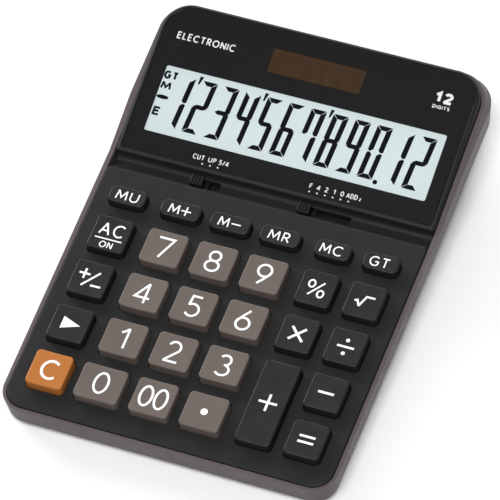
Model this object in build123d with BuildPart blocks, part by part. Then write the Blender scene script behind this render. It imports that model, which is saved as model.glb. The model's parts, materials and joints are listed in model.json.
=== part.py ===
from build123d import *
import math
import os

# Desk calculator: a black upper case with twenty-nine keys, two slide switches and a
# twelve-digit display, closed by a brown lower case that stands on rubber feet.
# Millimetres. X runs across, Y from the front edge to the back, Z up. The origin is the
# centre of the footprint, on the surface that the feet stand on.

# ---------------------------------------------------------------- driving dimensions
WIDTH = 129.0
DEPTH = 175.5
FLARED_DEPTH = 177.7
FRONT = -FLARED_DEPTH / 2

# Lower case: the brown rim that shows round the black upper case
RIM_WIDTH = 1.7
RIM_FRONT = 1.2
RIM_FRONT_HEIGHT = 11.4
RIM_BEND = 113.0
RIM_BEND_HEIGHT = 16.33
RIM_BACK_HEIGHT = 28.7
BAND_HEIGHT = 9.2
BAND_BACK_HEIGHT = 22.2
BAND_DRAFT = 6.2
FLARE_HEIGHT = 30.0
FLARE_HALF_WIDTH = 66.1
FLARE_BACK = 178.4
FLARE_CORNER = 11.3
COLLAR_INSET = 0.7
COLLAR_DRAFT = 20.0
COLLAR_RISE = 12.0
COLLAR_FRONT_HEIGHT = 8.5
COLLAR_BACK_HEIGHT = 23.5
CORNER_FRONT = 9.5
CORNER_BACK = 13.0
WALL = 2.0
LIP_GAP = 0.2
LIP_DEPTH = 4.4
LIP_THICKNESS = 0.9
ABOVE_RIM = 9.0
UNDERSIDE_RADIUS = 0.8

# Belly of the lower case, and its feet
BELLY_BOTTOM = 1.2
BELLY_HALF_WIDTH = 52.0
BELLY_FRONT = 14.0
BELLY_BACK = 160.0
BELLY_DRAFT = 8.0
BELLY_RISE = 12.0
BELLY_RADIUS = 12.0
FOOT_DIAMETER = 10.0
FOOT_RECESS = 0.4
FOOT_X = 44.0
FOOT_FRONT = 26.0
FOOT_BACK = 148.0

# Keyboard deck, cove and display panel, as heights over distances from the front edge
DECK_TILT = 2.5
DECK_FRONT_HEIGHT = 12.0
DECK_THICKNESS = 2.0
CREASE = 106.0
COVE_LOW = 110.9
COVE_DEPTH = 2.95
COVE_FLOOR = 4.5
RISER = 112.9
PANEL_START = 113.2
PANEL_START_HEIGHT = 17.48
PANEL_TILT = 14.4

# Display stack, as depths below the face of the display panel
WINDOW_GAP = 0.1
WINDOW_LOW_RADIUS = 1.5
WINDOW_HIGH_RADIUS = 9.0
WINDOW_THICKNESS = 1.5
MASK_THICKNESS = 0.15
RECESS = WINDOW_THICKNESS + MASK_THICKNESS
PANEL_FLOOR = 3.0
PANEL_HALF_WIDTH = 60.9
PANEL_LOW = 1.45
PANEL_HIGH = 60.7
LCD_VIEW_HALF_WIDTH = 55.1
LCD_VIEW_LOW = 10.43
LCD_VIEW_HIGH = 36.96
LCD_HALF_WIDTH = 57.0
LCD_LOW = 8.6
LCD_HIGH = 39.4
LCD_LEDGE = 2.0
LCD_TOP = 1.9
LCD_GLASS = 1.1
LCD_FILM = 0.2
RIBBON_X = -5.0
RIBBON_WIDTH = 22.0
FRAME_POSTS = [(x, y) for x in (-52, -27, 27, 52) for y in (LCD_LOW - 2.4, LCD_HIGH + 2.4)]
SOLAR_VIEW_HALF_WIDTH = 18.15
SOLAR_VIEW_LOW = 43.9
SOLAR_VIEW_HIGH = 53.5
SOLAR_TOP = 1.75
SOLAR_THICKNESS = 1.2
SOLAR_MARGIN = 1.5
POCKET_FLOOR = 4.2

# Keys, as centres and top-face sizes on the deck
KEY_HEIGHT = 3.6
KEY_DRAFT = 3.0
KEY_RADIUS = 1.6
SMALL_KEY_RADIUS = 2.4
KEY_EDGE = 0.5
KEY_WALL = 1.2
KEY_TOP = 1.7
KEY_GAP = 0.35
DISH_RADIUS = 120.0
DISH_DEPTH = 0.4
FLANGE_WIDTH = 0.8
FLANGE_TOP = 2.1
FLANGE_BOTTOM = 2.9
PLUNGER_DIAMETER = 5.0
PLUNGER_BOTTOM = 3.4
KEY_DEPTH = 14.1
SMALL_KEY_DEPTH = 6.9
EDGE_KEY_WIDTH = 14.1
NUMBER_KEY_WIDTH = 15.1
FUNCTION_KEY_WIDTH = 13.3
COLUMNS = [-49.2, -28.3, -8.85, 10.6, 31.1, 49.5]
ROWS = [17.2, 37.05, 56.9, 76.75]
SMALL_ROW = 93.8
ZERO_KEY_EXTRA = 1.8
PLUS_KEY_CENTRE = 27.2
PLUS_KEY_DEPTH = 34.1

# Slide switches
SWITCH_PITCH = 3.05
KNOB_LENGTH = 4.8
KNOB_TOP = 0.3
KNOB_Y = 109.75
KNOB_DEPTH = 4.1
ROUNDING_KNOB_X = -28.8
DECIMAL_KNOB_X = 13.2
SLOT_GAP = 0.15
SLIDER_TOP = 4.55
SLIDER_BOTTOM = 5.9
SLIDER_DEPTH = 6.6
SLIDER_END = 1.6

# Rubber mat and circuit board, as depths below the deck
DOME_TOP = 3.45
MAT_TOP = 5.6
BOARD_TOP = 6.3
BOARD_BOTTOM = 7.5
DOME_TOP_RADIUS = 1.6
DOME_BASE_RADIUS = 3.0
DOME_WALL = 0.6
PILL_RADIUS = 1.2
PILL_BOTTOM = 4.9
BOARD_SCREWS = [(-38.9, 46.97), (-38.9, 66.8), (21.3, 46.97), (21.3, 66.8), (-45.0, 102.2), (45.0, 102.2)]
BOARD_BOSS_DIAMETER = 3.8

# Case screws: distance from the front, half spacing, seat of the head, top of the tower
CASE_SCREWS = [(6.2, 55.8, 5.0), (102.3, 57.0, 9.2), (166.0, 55.0, 14.7)]
TOWER_DIAMETER = 7.0
TOWER_ABOVE_SEAT = 1.2
UPPER_BOSS_DIAMETER = 4.6
CASE_SCREW_DIAMETER = 2.3
CASE_HEAD_DIAMETER = 4.4
SCREW_FIT = 0.05

# Button cell in the belly
CELL_X = 18.0
CELL_DISTANCE = 140.0
CELL_DIAMETER = 11.6
CELL_THICKNESS = 5.4
BAY_HALF = 7.5
BAY_WALL = 1.2
BAY_ROOF = 9.4
COVER_LENGTH = 30.0
COVER_WIDTH = 18.0
COVER_THICKNESS = 1.2
COVER_X = CELL_X + 3.0
COVER_SCREW_X = CELL_X + 12.6
COVER_GAP = 0.15

os.makedirs("parts", exist_ok=True)


# ---------------------------------------------------------------- shared geometry
def slope(degrees):
    return math.tan(math.radians(degrees))


def behind(distance):
    """Y of a point at this distance behind the front edge."""
    return FRONT + distance


FEET = [(side * FOOT_X, behind(foot)) for side in (-1, 1) for foot in (FOOT_FRONT, FOOT_BACK)]


def deck_height(distance, depth=0.0):
    """Height of the keyboard deck, or of a surface this far below it."""
    drop = depth / math.cos(math.radians(DECK_TILT))
    return DECK_FRONT_HEIGHT + distance * slope(DECK_TILT) - drop


def panel_height(distance, depth=0.0):
    """Height of the display panel, or of a surface this far below it."""
    drop = depth / math.cos(math.radians(PANEL_TILT))
    return PANEL_START_HEIGHT + (distance - PANEL_START) * slope(PANEL_TILT) - drop


def tilted_plane(distance, height, degrees):
    """A plane that rises towards the back, with its origin on the centre line."""
    angle = math.radians(degrees)
    normal = (0, -math.sin(angle), math.cos(angle))
    return Plane(origin=(0, behind(distance), height), x_dir=(1, 0, 0), z_dir=normal)


deck = tilted_plane(0, DECK_FRONT_HEIGHT, DECK_TILT)
panel = tilted_plane(PANEL_START, PANEL_START_HEIGHT, PANEL_TILT)


def rim_height(distance, back_height=RIM_BACK_HEIGHT):
    """Height of the parting line between the cases, or of a line that rises to another height."""
    if distance <= RIM_BEND:
        rise = (RIM_BEND_HEIGHT - RIM_FRONT_HEIGHT) / RIM_BEND
        return RIM_FRONT_HEIGHT + distance * rise
    rise = (back_height - RIM_BEND_HEIGHT) / (DEPTH - RIM_BEND)
    return RIM_BEND_HEIGHT + (distance - RIM_BEND) * rise


def band_height(distance):
    """Height of the lower edge of the band round the lower case."""
    return rim_height(distance, BAND_BACK_HEIGHT) - BAND_HEIGHT


def rounded_outline(half_width, low, high, low_radius, high_radius):
    """Rectangle between two distances, with its own radius at each end."""
    with BuildSketch(mode=Mode.PRIVATE) as outline:
        with Locations((0, (low + high) / 2)):
            Rectangle(2 * half_width, high - low)
        fillet(outline.vertices().group_by(Axis.Y)[0], low_radius)
        fillet(outline.vertices().group_by(Axis.Y)[-1], high_radius)
    return outline.sketch


def case_outline(inset, low=0.0, high=DEPTH):
    """Outline of the cases seen from above, inset from the outside of the lower case."""
    sizes = (WIDTH / 2 - inset, behind(low), behind(high))
    return rounded_outline(*sizes, max(CORNER_FRONT - inset, 1), max(CORNER_BACK - inset, 1))


def side_line(height, raised=0.0):
    """Side view of a height that bends once, raised by an amount and carried past both ends."""
    distances = (-5.0, RIM_BEND, DEPTH + 5.0)
    return [(behind(distance), height(distance) + raised) for distance in distances]


def finish(piece, label):
    """Name one finished piece and write it."""
    piece.part.label = label
    export_step(piece.part, f"parts/{label}.step")


# ---------------------------------------------------------------- key layout
def key_list():
    """Every key as label, centre, top width, top depth and corner radius."""
    keys = []
    small = ["key_mu", "key_m_plus", "key_m_minus", "key_mr", "key_mc", "key_gt"]
    widths = [EDGE_KEY_WIDTH] + 3 * [NUMBER_KEY_WIDTH] + 2 * [FUNCTION_KEY_WIDTH]
    for label, x, width in zip(small, COLUMNS, widths):
        keys.append((label, x, SMALL_ROW, width, SMALL_KEY_DEPTH, SMALL_KEY_RADIUS))
    rows = [
        ["key_clear", "key_0", "key_00", "key_point", None, "key_equals"],
        ["key_backspace", "key_1", "key_2", "key_3", None, "key_minus"],
        ["key_sign", "key_4", "key_5", "key_6", "key_times", "key_divide"],
        ["key_ac_on", "key_7", "key_8", "key_9", "key_percent", "key_sqrt"],
    ]
    for y, labels in zip(ROWS, rows):
        for label, x, width in zip(labels, COLUMNS, widths):
            if label == "key_0":
                x = x - ZERO_KEY_EXTRA / 2
                width = width + ZERO_KEY_EXTRA
            if label:
                keys.append((label, x, y, width, KEY_DEPTH, KEY_RADIUS))
    plus = ("key_plus", COLUMNS[4], PLUS_KEY_CENTRE, FUNCTION_KEY_WIDTH, PLUS_KEY_DEPTH, KEY_RADIUS)
    keys.append(plus)
    return keys


KEYS = key_list()
DRAFT_INSET = KEY_HEIGHT * slope(KEY_DRAFT)


def plunger_points(x, y, depth):
    """A square key presses one dome, a tall key one dome near each end."""
    if depth > 2 * KEY_DEPTH:
        return [(x, y - depth / 4), (x, y + depth / 4)]
    return [(x, y)]


DOMES = [point for _, x, y, _, depth, _ in KEYS for point in plunger_points(x, y, depth)]


# ---------------------------------------------------------------- keys
def make_key(label, x, y, width, depth, radius):
    """Hollow cap with drafted walls, a dished top, a retaining flange and its plungers."""
    base_width = width + 2 * DRAFT_INSET
    base_depth = depth + 2 * DRAFT_INSET
    base_radius = radius + DRAFT_INSET
    with BuildPart(deck) as key:
        with BuildSketch(deck):
            with Locations((x, y)):
                RectangleRounded(base_width, base_depth, base_radius)
        extrude(amount=KEY_HEIGHT, taper=KEY_DRAFT)
        if depth > 2 * KEY_DEPTH:
            with Locations((x, y, KEY_HEIGHT - DISH_DEPTH / 2 + DISH_RADIUS)):
                Cylinder(DISH_RADIUS, 2 * depth, rotation=(90, 0, 0), mode=Mode.SUBTRACT)
        else:
            with Locations((x, y, KEY_HEIGHT - DISH_DEPTH + DISH_RADIUS)):
                Sphere(DISH_RADIUS, mode=Mode.SUBTRACT)
        fillet(key.faces().sort_by(Axis(deck.origin, deck.z_dir))[-1].edges(), KEY_EDGE)
        with BuildSketch(deck):
            with Locations((x, y)):
                RectangleRounded(base_width, base_depth, base_radius)
        extrude(amount=-FLANGE_BOTTOM)
        with BuildSketch(deck.offset(-FLANGE_TOP)):
            with Locations((x, y)):
                RectangleRounded(base_width + 2 * FLANGE_WIDTH, base_depth + 2 * FLANGE_WIDTH, base_radius)
        extrude(amount=FLANGE_TOP - FLANGE_BOTTOM)
        with BuildSketch(deck.offset(-FLANGE_BOTTOM)):
            with Locations((x, y)):
                RectangleRounded(width - 2 * KEY_WALL, depth - 2 * KEY_WALL, radius / 2)
            with Locations(*plunger_points(x, y, depth)):
                Circle(PLUNGER_DIAMETER / 2, mode=Mode.SUBTRACT)
        extrude(amount=FLANGE_BOTTOM + KEY_HEIGHT - KEY_TOP, mode=Mode.SUBTRACT)
        with BuildSketch(deck.offset(-PLUNGER_BOTTOM)):
            with Locations(*plunger_points(x, y, depth)):
                Circle(PLUNGER_DIAMETER / 2)
        extrude(amount=PLUNGER_BOTTOM)
    finish(key, label)


for key in KEYS:
    make_key(*key)

# ---------------------------------------------------------------- upper case
INNER_INSET = RIM_WIDTH + LIP_GAP + WALL
UPPER_FRONT = RIM_FRONT + LIP_GAP
UPPER_BACK = DEPTH - RIM_WIDTH

with BuildPart() as upper_room:
    with BuildSketch():
        add(case_outline(INNER_INSET, UPPER_FRONT + WALL, UPPER_BACK - WALL))
    extrude(amount=2 * PANEL_START_HEIGHT)
    with BuildSketch(Plane.YZ):
        step_front = CREASE - 2.5
        step_back = PANEL_START + 1.8
        with BuildLine():
            Polyline(
                (behind(0), 0),
                (behind(0), deck_height(0, DECK_THICKNESS)),
                (behind(step_front), deck_height(step_front, DECK_THICKNESS)),
                (behind(step_front), deck_height(step_front, COVE_FLOOR)),
                (behind(step_back), deck_height(step_back, COVE_FLOOR)),
                (behind(step_back), panel_height(step_back, PANEL_FLOOR)),
                (behind(DEPTH), panel_height(DEPTH, PANEL_FLOOR)),
                (behind(DEPTH), 0),
                close=True,
            )
        make_face()
    extrude(amount=WIDTH, both=True, mode=Mode.INTERSECT)


def panel_rectangle(half_width, low, high, depth, radius):
    """Rounded rectangle on the plane at this depth below the display panel."""
    with BuildSketch(panel.offset(-depth)) as rectangle:
        add(rounded_outline(half_width, low, high, radius, radius))
    return rectangle.sketch


with BuildPart() as upper_case:
    with BuildSketch():
        add(case_outline(RIM_WIDTH + LIP_GAP, UPPER_FRONT, UPPER_BACK))
    extrude(amount=2.5 * PANEL_START_HEIGHT)
    with BuildSketch(Plane.YZ) as side_view:
        crease_point = (behind(CREASE), deck_height(CREASE))
        cove_point = (behind(COVE_LOW), deck_height(COVE_LOW, COVE_DEPTH))
        riser_point = (behind(RISER), cove_point[1] + 1.7)
        edge_point = (behind(PANEL_START), PANEL_START_HEIGHT)
        back_point = (behind(DEPTH + 5), panel_height(DEPTH + 5))
        under = side_line(rim_height, -LIP_DEPTH)
        with BuildLine():
            Polyline(crease_point, (behind(-5), deck_height(-5)), *under, back_point, edge_point, riser_point)
            TangentArc(cove_point, crease_point, tangent=(-1, 0))
            TangentArc(cove_point, riser_point, tangent=(1, 0))
        make_face()
        fillet(side_view.vertices().sort_by_distance((*edge_point, 0))[0], 0.6)
    extrude(amount=WIDTH, both=True, mode=Mode.INTERSECT)
    panel_top = upper_case.faces().filter_by(panel).sort_by(Axis.Z)[-1]
    shoulder = panel_top.edges().filter_by(Axis.X, reverse=True) + panel_top.edges().sort_by(Axis.Y)[-1:]
    fillet(shoulder, 1.6)
    deck_top = upper_case.faces().filter_by(deck).sort_by(Axis.Z)[-1]
    deck_edges = deck_top.edges().filter_by(Axis.X, reverse=True) + deck_top.edges().sort_by(Axis.Y)[:1]
    fillet(deck_edges, 0.6)
    add(upper_room.part, mode=Mode.SUBTRACT)
    # Recess for the display window, opening for the display, pocket for the solar cell
    with BuildSketch(panel):
        window_room = (PANEL_HALF_WIDTH + WINDOW_GAP, PANEL_LOW - WINDOW_GAP, PANEL_HIGH + WINDOW_GAP)
        add(rounded_outline(*window_room, WINDOW_LOW_RADIUS, WINDOW_HIGH_RADIUS))
    extrude(amount=-RECESS, mode=Mode.SUBTRACT)
    opening = panel_rectangle(LCD_HALF_WIDTH + 0.8, LCD_LOW - 0.8, LCD_HIGH + 0.8, PANEL_FLOOR + 1, 1)
    extrude(opening, amount=PANEL_FLOOR + 1, mode=Mode.SUBTRACT)
    pocket_half = SOLAR_VIEW_HALF_WIDTH + SOLAR_MARGIN + 0.2
    pocket_low = SOLAR_VIEW_LOW - SOLAR_MARGIN + 0.6
    pocket_high = SOLAR_VIEW_HIGH + SOLAR_MARGIN - 0.6
    pocket_box = panel_rectangle(pocket_half + 1.5, pocket_low - 0.8, pocket_high + 1.5, POCKET_FLOOR, 1)
    extrude(pocket_box, amount=POCKET_FLOOR - PANEL_FLOOR)
    pocket_bottom = SOLAR_TOP + SOLAR_THICKNESS
    pocket = panel_rectangle(pocket_half, pocket_low, pocket_high, pocket_bottom, 0.5)
    extrude(pocket, amount=pocket_bottom - RECESS, mode=Mode.SUBTRACT)
    with BuildSketch(panel.offset(-POCKET_FLOOR)):
        with Locations((-8, (pocket_low + pocket_high) / 2), (8, (pocket_low + pocket_high) / 2)):
            Circle(0.8)
    extrude(amount=POCKET_FLOOR, mode=Mode.SUBTRACT)
    # Key holes
    for _, x, y, width, depth, radius in KEYS:
        grow = 2 * (DRAFT_INSET + KEY_GAP)
        with BuildSketch(deck.offset(-DECK_THICKNESS - 1)):
            with Locations((x, y)):
                RectangleRounded(width + grow, depth + grow, radius + grow / 2)
        extrude(amount=DECK_THICKNESS + 2, mode=Mode.SUBTRACT)
    # Switch slots through the floor of the cove
    for knob_x, steps in ((ROUNDING_KNOB_X, 2), (DECIMAL_KNOB_X, 5)):
        slot_length = KNOB_LENGTH + steps * SWITCH_PITCH + 2 * SLOT_GAP
        with BuildSketch(deck.offset(-COVE_FLOOR - 1)):
            with Locations((knob_x + steps * SWITCH_PITCH / 2, KNOB_Y)):
                RectangleRounded(slot_length, KNOB_DEPTH + 2 * SLOT_GAP, 0.4)
        extrude(amount=COVE_FLOOR + 1, mode=Mode.SUBTRACT)
    # Bosses for the circuit-board screws
    with BuildSketch(deck.offset(-BOARD_TOP)):
        with Locations(*BOARD_SCREWS):
            Circle(BOARD_BOSS_DIAMETER / 2)
    extrude(amount=BOARD_TOP - DECK_THICKNESS + 0.2)
    with BuildSketch(deck.offset(-BOARD_TOP)):
        with Locations(*BOARD_SCREWS):
            Circle(1.0 + SCREW_FIT)
    extrude(amount=BOARD_TOP - DECK_THICKNESS, mode=Mode.SUBTRACT)
    # Bosses for the case screws, down to the towers of the lower case
    for distance, half_spacing, seat in CASE_SCREWS:
        roof = deck_height(distance) if distance < CREASE else panel_height(distance)
        cover = DECK_THICKNESS if distance < CREASE else PANEL_FLOOR
        boss_bottom = seat + TOWER_ABOVE_SEAT
        with BuildSketch(Plane.XY.offset(boss_bottom)):
            with Locations((-half_spacing, behind(distance)), (half_spacing, behind(distance))):
                Circle(UPPER_BOSS_DIAMETER / 2)
        extrude(amount=roof - cover - boss_bottom + 0.2)
        with BuildSketch(Plane.XY.offset(boss_bottom)):
            with Locations((-half_spacing, behind(distance)), (half_spacing, behind(distance))):
                Circle(CASE_SCREW_DIAMETER / 2 + SCREW_FIT)
        extrude(amount=min(roof - cover - boss_bottom - 0.4, 8), mode=Mode.SUBTRACT)
    # Heat-staked posts that hold the display frame
    with BuildSketch(panel.offset(-4.5)):
        with Locations(*FRAME_POSTS):
            Circle(0.9)
    extrude(amount=4.5 - PANEL_FLOOR + 0.2)
    with BuildSketch(panel.offset(-5.0)):
        with Locations(*FRAME_POSTS):
            Circle(1.3)
    extrude(amount=0.5)
finish(upper_case, "upper_case")

# ---------------------------------------------------------------- slide switches
def make_switch(knob_x, knob_label, wiper_label):
    """Ribbed knob on a slider plate under the cove, with a sprung wiper below it."""
    plate_length = KNOB_LENGTH + 2 * SLIDER_END
    with BuildPart() as knob:
        with BuildSketch(deck.offset(-SLIDER_BOTTOM)):
            with Locations((knob_x, KNOB_Y)):
                RectangleRounded(plate_length, SLIDER_DEPTH, 0.5)
        extrude(amount=SLIDER_BOTTOM - SLIDER_TOP)
        with BuildSketch(deck.offset(-SLIDER_TOP)):
            with Locations((knob_x, KNOB_Y)):
                RectangleRounded(KNOB_LENGTH, KNOB_DEPTH, 0.3)
        extrude(amount=SLIDER_TOP - KNOB_TOP)
        knob_top = knob.faces().sort_by(Axis(deck.origin, deck.z_dir))[-1]
        fillet(knob_top.edges(), 0.25)
        with BuildSketch(deck.offset(-KNOB_TOP)):
            with Locations((knob_x - 1.2, KNOB_Y), (knob_x, KNOB_Y), (knob_x + 1.2, KNOB_Y)):
                Rectangle(0.45, KNOB_DEPTH + 1)
        extrude(amount=-0.4, mode=Mode.SUBTRACT)
    finish(knob, knob_label)
    with BuildPart() as wiper:
        with BuildSketch(deck.offset(-SLIDER_BOTTOM)):
            with Locations((knob_x, KNOB_Y)):
                RectangleRounded(plate_length - 1, 4.6, 0.5)
            with Locations((knob_x, KNOB_Y - 0.8), (knob_x, KNOB_Y + 0.8)):
                Rectangle(plate_length - 2.4, 0.5, mode=Mode.SUBTRACT)
        extrude(amount=-0.15)
        with BuildSketch(deck.offset(-BOARD_TOP + 0.05)):
            with Locations((knob_x, KNOB_Y)):
                with GridLocations(4.4, 1.6, 2, 3):
                    Circle(0.45)
        extrude(amount=BOARD_TOP - SLIDER_BOTTOM - 0.05)
    finish(wiper, wiper_label)


make_switch(ROUNDING_KNOB_X, "rounding_switch_knob", "rounding_switch_wiper")
make_switch(DECIMAL_KNOB_X, "decimal_switch_knob", "decimal_switch_wiper")

# ---------------------------------------------------------------- display
with BuildPart() as display_window:
    with BuildSketch(panel.offset(-WINDOW_THICKNESS)):
        window_corners = (WINDOW_LOW_RADIUS, WINDOW_HIGH_RADIUS)
        add(rounded_outline(PANEL_HALF_WIDTH, PANEL_LOW, PANEL_HIGH, *window_corners))
    extrude(amount=WINDOW_THICKNESS)
    chamfer(display_window.faces().sort_by(Axis(panel.origin, panel.z_dir))[-1].edges(), 0.15)
finish(display_window, "display_window")

with BuildPart() as window_mask:
    with BuildSketch(panel.offset(-RECESS)):
        mask_size = (PANEL_HALF_WIDTH - WINDOW_GAP, PANEL_LOW + WINDOW_GAP, PANEL_HIGH - WINDOW_GAP)
        add(rounded_outline(*mask_size, WINDOW_LOW_RADIUS - WINDOW_GAP, WINDOW_HIGH_RADIUS - WINDOW_GAP))
        lcd_view = rounded_outline(LCD_VIEW_HALF_WIDTH, LCD_VIEW_LOW, LCD_VIEW_HIGH, 0.8, 0.8)
        add(lcd_view, mode=Mode.SUBTRACT)
        solar_view = rounded_outline(SOLAR_VIEW_HALF_WIDTH, SOLAR_VIEW_LOW, SOLAR_VIEW_HIGH, 0.4, 0.4)
        add(solar_view, mode=Mode.SUBTRACT)
    extrude(amount=MASK_THICKNESS)
finish(window_mask, "window_mask")

UPPER_GLASS_BOTTOM = LCD_TOP + LCD_GLASS
LOWER_GLASS_BOTTOM = LCD_TOP + 2 * LCD_GLASS
with BuildPart() as lcd_cell:
    upper_glass = panel_rectangle(LCD_HALF_WIDTH, LCD_LOW, LCD_HIGH, UPPER_GLASS_BOTTOM, 0.4)
    extrude(upper_glass, amount=LCD_GLASS)
    lower_glass = panel_rectangle(LCD_HALF_WIDTH, LCD_LOW + LCD_LEDGE, LCD_HIGH, LOWER_GLASS_BOTTOM, 0.4)
    extrude(lower_glass, amount=LCD_GLASS)
finish(lcd_cell, "lcd_cell")

FILM_BOTTOM = LOWER_GLASS_BOTTOM + LCD_FILM
with BuildPart() as lcd_reflector:
    film = panel_rectangle(LCD_HALF_WIDTH - 0.6, LCD_LOW + LCD_LEDGE + 0.6, LCD_HIGH - 0.6, FILM_BOTTOM, 0.4)
    extrude(film, amount=LCD_FILM)
finish(lcd_reflector, "lcd_reflector")

FRAME_TOP = PANEL_FLOOR
FRAME_BOTTOM = FILM_BOTTOM + 1.2
EAR_BOTTOM = 4.5
with BuildPart() as lcd_frame:
    outer = panel_rectangle(LCD_HALF_WIDTH + 1.9, LCD_LOW - 4.2, LCD_HIGH + 4.2, EAR_BOTTOM, 1.0)
    extrude(outer, amount=EAR_BOTTOM - FRAME_TOP)
    tray = panel_rectangle(LCD_HALF_WIDTH + 1.9, LCD_LOW - 1.0, LCD_HIGH + 1.0, FRAME_BOTTOM, 1.0)
    extrude(tray, amount=FRAME_BOTTOM - FRAME_TOP)
    room = panel_rectangle(LCD_HALF_WIDTH + 0.15, LCD_LOW - 0.15, LCD_HIGH + 0.15, FILM_BOTTOM, 0.4)
    extrude(room, amount=FILM_BOTTOM, mode=Mode.SUBTRACT)
    with BuildSketch(panel.offset(-EAR_BOTTOM)):
        with Locations(*FRAME_POSTS):
            Circle(1.0)
    extrude(amount=EAR_BOTTOM, mode=Mode.SUBTRACT)
    # Way out for the ribbon: under the ledge of the upper glass, then down to the board
    with BuildSketch(panel.offset(-FRAME_TOP - 0.5)):
        with Locations((RIBBON_X, LCD_LOW)):
            Rectangle(RIBBON_WIDTH + 2, 3)
    extrude(amount=1.0, mode=Mode.SUBTRACT)
    with BuildSketch(panel.offset(-FRAME_BOTTOM)):
        with Locations((RIBBON_X, LCD_LOW - 3)):
            Rectangle(RIBBON_WIDTH + 2, 4)
    extrude(amount=FRAME_BOTTOM, mode=Mode.SUBTRACT)
    # Room for the pocket of the solar cell
    with BuildSketch(panel.offset(-FRAME_BOTTOM)):
        with Locations((0, LCD_HIGH + 4.2)):
            Rectangle(46, 3.4)
    extrude(amount=FRAME_BOTTOM, mode=Mode.SUBTRACT)
    # Lightening windows in the floor of the tray
    with BuildSketch(panel.offset(-FRAME_BOTTOM)):
        with Locations((0, (LCD_LOW + LCD_HIGH) / 2)):
            with GridLocations(27, 14, 4, 2):
                RectangleRounded(22, 9, 1.5)
    extrude(amount=1.2, mode=Mode.SUBTRACT)
finish(lcd_frame, "lcd_frame")

def on_panel(along, depth):
    """Distance behind the front edge and height of a point on a level below the panel."""
    angle = math.radians(PANEL_TILT)
    distance = PANEL_START + along * math.cos(angle) + depth * math.sin(angle)
    return distance, PANEL_START_HEIGHT + along * math.sin(angle) - depth * math.cos(angle)


with BuildPart() as lcd_heat_seal:
    ledge_end = on_panel(LCD_LOW + 1.7, UPPER_GLASS_BOTTOM + 0.08)
    ledge_start = on_panel(LCD_LOW - 2.2, UPPER_GLASS_BOTTOM + 0.25)
    board_level = BOARD_TOP - 0.08
    with BuildSketch(Plane.YZ.offset(RIBBON_X)):
        with BuildLine() as ribbon_line:
            FilletPolyline(
                (behind(ledge_end[0]), ledge_end[1]),
                (behind(ledge_start[0]), ledge_start[1]),
                (behind(113.5), deck_height(113.5, board_level)),
                (behind(110.5), deck_height(110.5, board_level)),
                radius=1.2,
            )
        trace(line_width=0.15)
    extrude(amount=RIBBON_WIDTH / 2, both=True)
finish(lcd_heat_seal, "lcd_heat_seal")

# ---------------------------------------------------------------- solar cell
SOLAR_BOTTOM = SOLAR_TOP + SOLAR_THICKNESS
SOLAR_MIDDLE = (SOLAR_VIEW_LOW + SOLAR_VIEW_HIGH) / 2
with BuildPart() as solar_cell:
    cell_half = SOLAR_VIEW_HALF_WIDTH + SOLAR_MARGIN
    cell_face = panel_rectangle(cell_half, SOLAR_VIEW_LOW - 0.7, SOLAR_VIEW_HIGH + 0.7, SOLAR_BOTTOM, 0.3)
    extrude(cell_face, amount=SOLAR_THICKNESS)
finish(solar_cell, "solar_cell")


def wire(x, points, bend):
    """Round insulated wire through points given as distance from the front and height."""
    route = [(x, behind(distance), height) for distance, height in points]
    with BuildPart() as lead:
        with BuildLine() as path:
            FilletPolyline(*route, radius=bend)
        with BuildSketch(Plane(origin=path.line @ 0, z_dir=path.line % 0)):
            Circle(WIRE_RADIUS)
        sweep()
    return lead.part


WIRE_RADIUS = 0.4
BOARD_EDGE = 113.0
solder_height = deck_height(110.5, BOARD_BOTTOM)
solar_exit = on_panel(SOLAR_MIDDLE, SOLAR_BOTTOM + 0.02)
with BuildPart() as solar_wires:
    for wire_x in (-8, 8):
        solar_route = [
            solar_exit,
            (solar_exit[0] + 1.9, solar_exit[1] - 7.5),
            (119.0, 11.2),
            (114.5, 8.3),
            (110.5, 8.3),
            (110.5, solder_height),
        ]
        add(wire(wire_x, solar_route, 0.8))
finish(solar_wires, "solar_wires")

# ---------------------------------------------------------------- rubber mat
PILL_TOP = PILL_BOTTOM - 0.5
with BuildPart() as dome:
    with BuildSketch(Plane.XZ):
        with BuildLine():
            Polyline(
                (0, -DOME_TOP),
                (DOME_TOP_RADIUS, -DOME_TOP),
                (DOME_BASE_RADIUS, -MAT_TOP),
                (DOME_BASE_RADIUS, -BOARD_TOP),
                (0, -BOARD_TOP),
                close=True,
            )
        make_face()
    revolve(axis=Axis.Z)

with BuildPart() as dome_room:
    with BuildSketch(Plane.XZ):
        room_radius = DOME_BASE_RADIUS - DOME_WALL
        with BuildLine():
            Polyline(
                (0, -PILL_TOP),
                (PILL_RADIUS, -PILL_TOP),
                (room_radius, -BOARD_TOP + 0.2),
                (room_radius, -BOARD_TOP),
                (0, -BOARD_TOP),
                close=True,
            )
        make_face()
    revolve(axis=Axis.Z)

with BuildPart() as rubber_key_mat:
    mat_low, mat_high = 9.6, 98.0
    with BuildSketch(deck.offset(-BOARD_TOP)):
        with Locations((0, (mat_low + mat_high) / 2)):
            RectangleRounded(113, mat_high - mat_low, 2)
        with Locations(*[point for point in BOARD_SCREWS if point[1] < mat_high]):
            Circle(BOARD_BOSS_DIAMETER / 2 + 0.4, mode=Mode.SUBTRACT)
        with Locations((-56, 10), (56, 10)):
            Rectangle(9, 5, mode=Mode.SUBTRACT)
    extrude(amount=BOARD_TOP - MAT_TOP)
    for x, y in DOMES:
        place = deck.location * Location((x, y, 0))
        add(dome.part.moved(place))
        add(dome_room.part.moved(place), mode=Mode.SUBTRACT)
finish(rubber_key_mat, "rubber_key_mat")

with BuildPart() as key_contact_pills:
    with BuildSketch(deck.offset(-PILL_BOTTOM)):
        with Locations(*DOMES):
            Circle(PILL_RADIUS)
    extrude(amount=PILL_BOTTOM - PILL_TOP)
finish(key_contact_pills, "key_contact_pills")

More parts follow.
